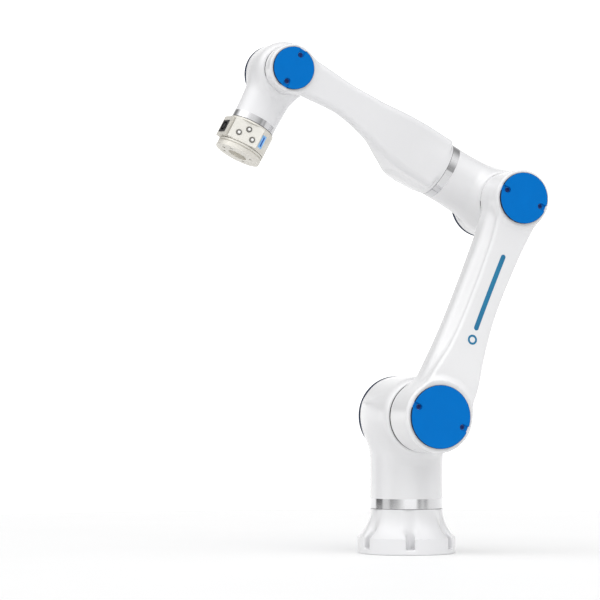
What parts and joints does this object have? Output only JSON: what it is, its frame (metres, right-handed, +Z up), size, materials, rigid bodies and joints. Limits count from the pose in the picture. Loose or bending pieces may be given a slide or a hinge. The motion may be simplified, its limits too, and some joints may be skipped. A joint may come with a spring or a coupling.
{
  "type": "collaborative robot arm",
  "caption": "Jointed collaborative robot arm with rounded white shells, blue round joint caps, metal trim rings, a flared bolt-down base and a tool flange with buttons and a connector.",
  "frame": {"origin": "centre of the base's mounting face, on joint 1's axis", "axes": "+Z up along joint 1; the arm bends in the X-Z plane, and the link housings stand on the -Y side, with the front joint caps facing -Y"},
  "size_m": [0.5258, 0.2245, 0.8138],
  "materials": {
    "white_shell": "glossy warm white paint over cast aluminium",
    "blue_cap": "smooth glossy blue moulded plastic",
    "trim_metal": "bright turned metal ring",
    "tool_grey": "fine satin warm grey anodised aluminium",
    "panel_grey": "satin warm grey plastic",
    "button_white": "white key cap with a grey ring",
    "light_blue": "translucent blue status light",
    "connector_black": "black moulded connector",
    "screw_steel": "dark oxide steel screws",
    "gear_steel": "ground steel",
    "motor_dark": "motor frame and potted windings",
    "rotor_steel": "turned steel hollow shaft",
    "brake_black": "black anodised brake and encoder housing",
    "cover_grey": "plain machined aluminium plate"
  },
  "bodies": {
    "base": {"base_housing": "white_shell", "base_bottom_cover": "cover_grey", "base_connector": "connector_black", "j1_output_flange": "gear_steel"},
    "shoulder": {"shoulder_housing": "white_shell", "shoulder_trim_ring": "trim_metal", "shoulder_back_cap": "blue_cap", "shoulder_cap_screws": "screw_steel", "j1_reducer": "gear_steel", "j1_motor_stator": "motor_dark", "j1_brake_encoder": "brake_black", "j2_reducer": "gear_steel", "j2_motor_stator": "motor_dark", "j2_brake_encoder": "brake_black"},
    "upper_arm": {"upper_arm_housing": "white_shell", "upper_arm_lower_cap": "blue_cap", "upper_arm_upper_cap": "blue_cap", "upper_arm_cap_screws": "screw_steel", "j2_output_flange": "gear_steel", "j3_output_flange": "gear_steel"},
    "elbow": {"elbow_housing": "white_shell", "elbow_trim_ring": "trim_metal", "elbow_back_cap": "blue_cap", "elbow_cap_screws": "screw_steel", "j3_reducer": "gear_steel", "j3_motor_stator": "motor_dark", "j3_brake_encoder": "brake_black", "j4_reducer": "gear_steel", "j4_motor_stator": "motor_dark", "j4_brake_encoder": "brake_black"},
    "forearm": {"forearm_housing": "white_shell", "forearm_end_cap": "blue_cap", "forearm_cap_screws": "screw_steel", "j4_output_flange": "gear_steel", "j5_output_flange": "gear_steel"},
    "wrist": {"wrist_housing": "white_shell", "wrist_trim_ring": "trim_metal", "wrist_back_cap": "blue_cap", "wrist_cap_screws": "screw_steel", "j5_reducer": "gear_steel", "j5_motor_stator": "motor_dark", "j5_brake_encoder": "brake_black", "j6_reducer": "gear_steel", "j6_motor_stator": "motor_dark", "j6_brake_encoder": "brake_black"},
    "tool": {"tool_io_housing": "tool_grey", "tool_flange": "tool_grey", "button_panel": "panel_grey", "status_light_window": "light_blue", "io_connector": "connector_black", "j6_output_flange": "gear_steel"},
    "free_drive_button": {"free_drive_button": "button_white"},
    "record_point_button": {"record_point_button": "button_white"},
    "user_button": {"user_button": "button_white"},
    "j1_rotor": {"j1_rotor_shaft": "rotor_steel"},
    "j2_rotor": {"j2_rotor_shaft": "rotor_steel"},
    "j3_rotor": {"j3_rotor_shaft": "rotor_steel"},
    "j4_rotor": {"j4_rotor_shaft": "rotor_steel"},
    "j5_rotor": {"j5_rotor_shaft": "rotor_steel"},
    "j6_rotor": {"j6_rotor_shaft": "rotor_steel"}
  },
  "joints": [
    {"name": "shoulder_yaw", "type": "hinge", "parent": "base", "child": "shoulder", "pos_m": [0, 0, 0], "axis": [0, 0, 1], "range_deg": [-360, 360]},
    {"name": "shoulder_pitch", "type": "hinge", "parent": "shoulder", "child": "upper_arm", "pos_m": [0, 0, 0.22], "axis": [0, 1, 0], "range_deg": [-158.8, 111.2]},
    {"name": "elbow_pitch", "type": "hinge", "parent": "upper_arm", "child": "elbow", "pos_m": [0.15335, 0, 0.56768], "axis": [0, -1, 0], "range_deg": [-238.5, 54.5]},
    {"name": "forearm_roll", "type": "hinge", "parent": "elbow", "child": "forearm", "pos_m": [0.15335, 0, 0.56768], "axis": [-0.8805, 0, 0.4741], "range_deg": [-360, 360]},
    {"name": "wrist_pitch", "type": "hinge", "parent": "forearm", "child": "wrist", "pos_m": [-0.21645, 0, 0.7668], "axis": [0, 1, 0], "range_deg": [-89.7, 270.3]},
    {"name": "wrist_roll", "type": "hinge", "parent": "wrist", "child": "tool", "pos_m": [-0.21645, 0, 0.7668], "axis": [-0.4695, 0, -0.8829], "range_deg": [-360, 360]},
    {"name": "j1_rotor_spin", "type": "hinge", "parent": "shoulder", "child": "j1_rotor", "pos_m": [0, 0, 0.072], "axis": [0, 0, 1], "range_deg": [-36400, 36400]},
    {"name": "j2_rotor_spin", "type": "hinge", "parent": "shoulder", "child": "j2_rotor", "pos_m": [0, 0, 0.22], "axis": [0, 1, 0], "range_deg": [-11271.2, 16078.8]},
    {"name": "j3_rotor_spin", "type": "hinge", "parent": "elbow", "child": "j3_rotor", "pos_m": [0.15335, 0, 0.56768], "axis": [0, -1, 0], "range_deg": [-24128.5, 5544.5]},
    {"name": "j4_rotor_spin", "type": "hinge", "parent": "elbow", "child": "j4_rotor", "pos_m": [0.15335, 0, 0.56768], "axis": [-0.8805, 0, 0.4741], "range_deg": [-36400, 36400]},
    {"name": "j5_rotor_spin", "type": "hinge", "parent": "wrist", "child": "j5_rotor", "pos_m": [-0.21645, 0, 0.7668], "axis": [0, 1, 0], "range_deg": [-9099.7, 27340.3]},
    {"name": "j6_rotor_spin", "type": "hinge", "parent": "wrist", "child": "j6_rotor", "pos_m": [-0.21645, 0, 0.7668], "axis": [-0.4695, 0, -0.8829], "range_deg": [-36400, 36400]},
    {"name": "free_drive_button_press", "type": "slide", "parent": "tool", "child": "free_drive_button", "axis": [0.302, 0.9397, -0.1606], "range_m": [0, 0.0008], "stiffness_N_per_m": 900, "springref_m": -0.0006},
    {"name": "record_point_button_press", "type": "slide", "parent": "tool", "child": "record_point_button", "axis": [0.302, 0.9397, -0.1606], "range_m": [0, 0.0008], "stiffness_N_per_m": 900, "springref_m": -0.0006},
    {"name": "user_button_press", "type": "slide", "parent": "tool", "child": "user_button", "axis": [0.302, 0.9397, -0.1606], "range_m": [0, 0.0008], "stiffness_N_per_m": 900, "springref_m": -0.0006}
  ],
  "couplings": [
    {"joint": "j1_rotor_spin", "follows": "shoulder_yaw", "ratio": 101},
    {"joint": "j2_rotor_spin", "follows": "shoulder_pitch", "ratio": -101},
    {"joint": "j3_rotor_spin", "follows": "elbow_pitch", "ratio": 101},
    {"joint": "j4_rotor_spin", "follows": "forearm_roll", "ratio": -101},
    {"joint": "j5_rotor_spin", "follows": "wrist_pitch", "ratio": 101},
    {"joint": "j6_rotor_spin", "follows": "wrist_roll", "ratio": -101}
  ]
}
